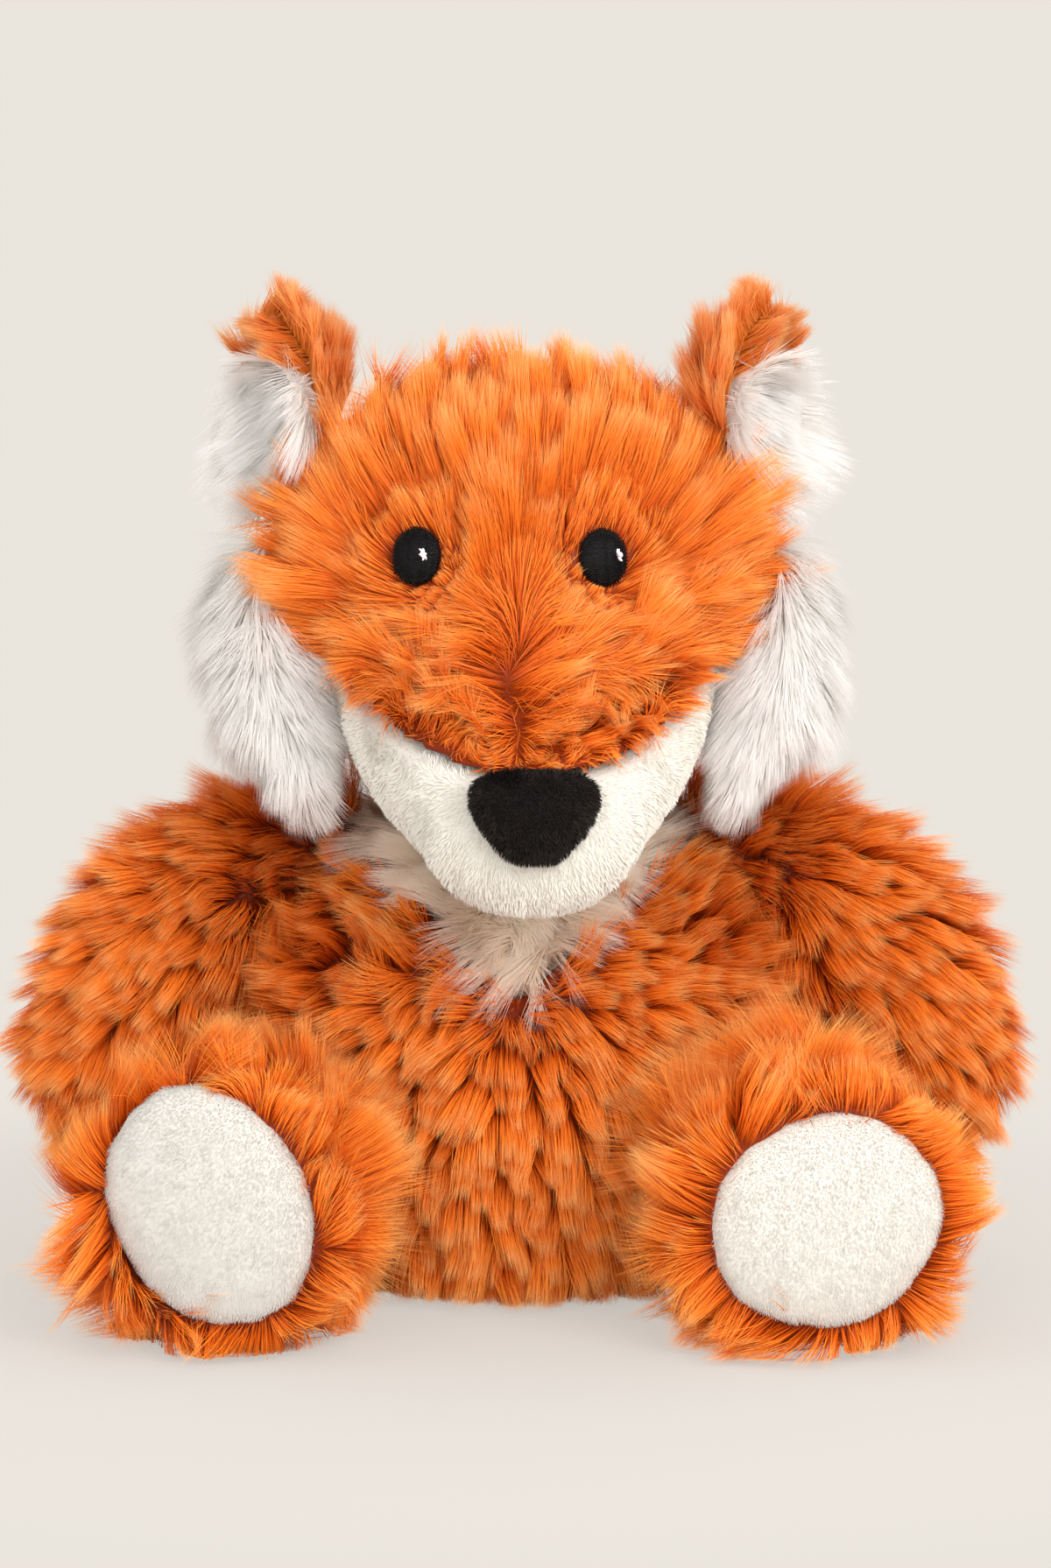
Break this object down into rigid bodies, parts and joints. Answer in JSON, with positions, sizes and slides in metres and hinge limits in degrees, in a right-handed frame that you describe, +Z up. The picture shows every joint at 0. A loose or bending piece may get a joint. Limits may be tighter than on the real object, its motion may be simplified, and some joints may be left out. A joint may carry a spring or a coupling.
{
  "type": "plush fox",
  "caption": "Seated long-pile plush fox with a stuffed head, limbs, ears and tail that flex at their seams, and a weighted seat pouch.",
  "frame": {"origin": "centre of the flat underside that the fox sits on", "axes": "+Z up; the fox faces -Y, so its own left side is at +X; -Z leaves the seat"},
  "size_m": [0.2358, 0.2364, 0.2359],
  "materials": {
    "orange_fur": "long straight pile in soft pointed tufts, light tips over deep roots",
    "white_fur": "long white pile",
    "bib_fur": "long off-white pile, shaded beige at its roots",
    "cream_velour": "short dense pile",
    "black_plush": "short dense pile",
    "black_thread": "satin-stitched thread",
    "white_thread": "stitched thread",
    "stuffing": "loose polyester fibre",
    "pouch_cloth": "plain cotton, filled with grain"
  },
  "bodies": {
    "torso": {"torso_front_panel": "orange_fur", "torso_back_panel": "orange_fur", "chest_bib": "bib_fur", "torso_stuffing": "stuffing", "seat_bean_pouch": "pouch_cloth"},
    "neck": {"neck_stuffing": "stuffing"},
    "head": {"face_panel": "orange_fur", "jaw_panel": "cream_velour", "head_back_panel": "orange_fur", "head_stuffing": "stuffing", "nose": "black_plush", "left_cheek_ruff": "white_fur", "right_cheek_ruff": "white_fur", "left_eye": "black_thread", "right_eye": "black_thread", "left_eye_glint": "white_thread", "right_eye_glint": "white_thread"},
    "left_ear": {"left_ear_back": "orange_fur", "left_ear_front": "white_fur"},
    "left_arm": {"left_arm_sleeve": "orange_fur", "left_arm_stuffing": "stuffing"},
    "left_leg": {"left_leg_sleeve": "orange_fur", "left_leg_stuffing": "stuffing", "left_foot_pad": "cream_velour"},
    "right_ear": {"right_ear_back": "orange_fur", "right_ear_front": "white_fur"},
    "right_arm": {"right_arm_sleeve": "orange_fur", "right_arm_stuffing": "stuffing"},
    "right_leg": {"right_leg_sleeve": "orange_fur", "right_leg_stuffing": "stuffing", "right_foot_pad": "cream_velour"},
    "tail": {"tail_sleeve": "orange_fur", "tail_tip": "white_fur", "tail_stuffing": "stuffing"}
  },
  "joints": [
    {"name": "neck_turn", "type": "hinge", "parent": "torso", "child": "neck", "pos_m": [0, -0.004, 0.118], "axis": [0, 0, 1], "range_deg": [-20, 20], "stiffness_Nm_per_rad": 0.05},
    {"name": "head_nod", "type": "hinge", "parent": "neck", "child": "head", "pos_m": [0, -0.004, 0.118], "axis": [-1, 0, 0], "range_deg": [0, 14]},
    {"name": "left_ear_fold", "type": "hinge", "parent": "head", "child": "left_ear", "pos_m": [0.04497, -0.00243, 0.204], "axis": [0.3727, 0.9225, -0.1009], "range_deg": [-15, 15], "stiffness_Nm_per_rad": 0.01},
    {"name": "left_shoulder", "type": "hinge", "parent": "torso", "child": "left_arm", "pos_m": [0.051, 0.003, 0.1], "axis": [-1, 0, 0], "range_deg": [-15, 60]},
    {"name": "left_hip", "type": "hinge", "parent": "torso", "child": "left_leg", "pos_m": [0.05, -0.033, 0.031], "axis": [-1, 0, 0], "range_deg": [-30, 25]},
    {"name": "right_ear_fold", "type": "hinge", "parent": "head", "child": "right_ear", "pos_m": [-0.04497, -0.00557, 0.204], "axis": [0.4361, -0.8942, 0.1009], "range_deg": [-15, 15], "stiffness_Nm_per_rad": 0.01},
    {"name": "right_shoulder", "type": "hinge", "parent": "torso", "child": "right_arm", "pos_m": [-0.051, 0.003, 0.1], "axis": [-1, 0, 0], "range_deg": [-15, 60]},
    {"name": "right_hip", "type": "hinge", "parent": "torso", "child": "right_leg", "pos_m": [-0.05, -0.033, 0.031], "axis": [-1, 0, 0], "range_deg": [-30, 25]},
    {"name": "tail_lift", "type": "hinge", "parent": "torso", "child": "tail", "pos_m": [0, 0.054, 0.022], "axis": [1, 0, 0], "range_deg": [0, 35]}
  ]
}
